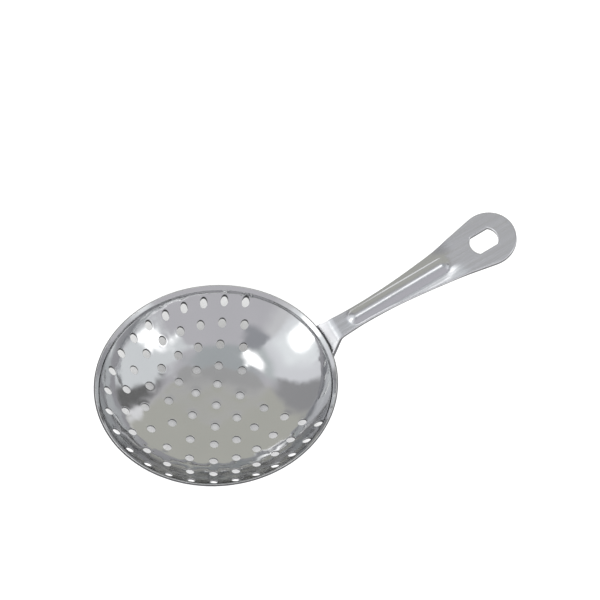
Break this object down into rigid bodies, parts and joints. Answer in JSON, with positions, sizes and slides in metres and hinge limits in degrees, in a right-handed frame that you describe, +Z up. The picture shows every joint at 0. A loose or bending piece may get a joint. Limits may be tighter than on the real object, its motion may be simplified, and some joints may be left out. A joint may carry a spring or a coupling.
{
  "type": "julep strainer",
  "caption": "Bar strainer with a perforated oval steel bowl, a narrow lip, and a ribbed handle with a hang slot, spot-welded behind the rim",
  "frame": {"origin": "centre of the rim plane, level with the top of the lip", "axes": "+X from the bowl along the handle, +Z up out of the bowl's mouth"},
  "size_m": [0.1615, 0.08, 0.0488],
  "materials": {
    "bowl_steel": "polished",
    "handle_steel": "satin",
    "weld_steel": "matt"
  },
  "bodies": {
    "root": {"bowl": "bowl_steel", "handle": "handle_steel", "spot_welds": "weld_steel"}
  },
  "joints": []
}
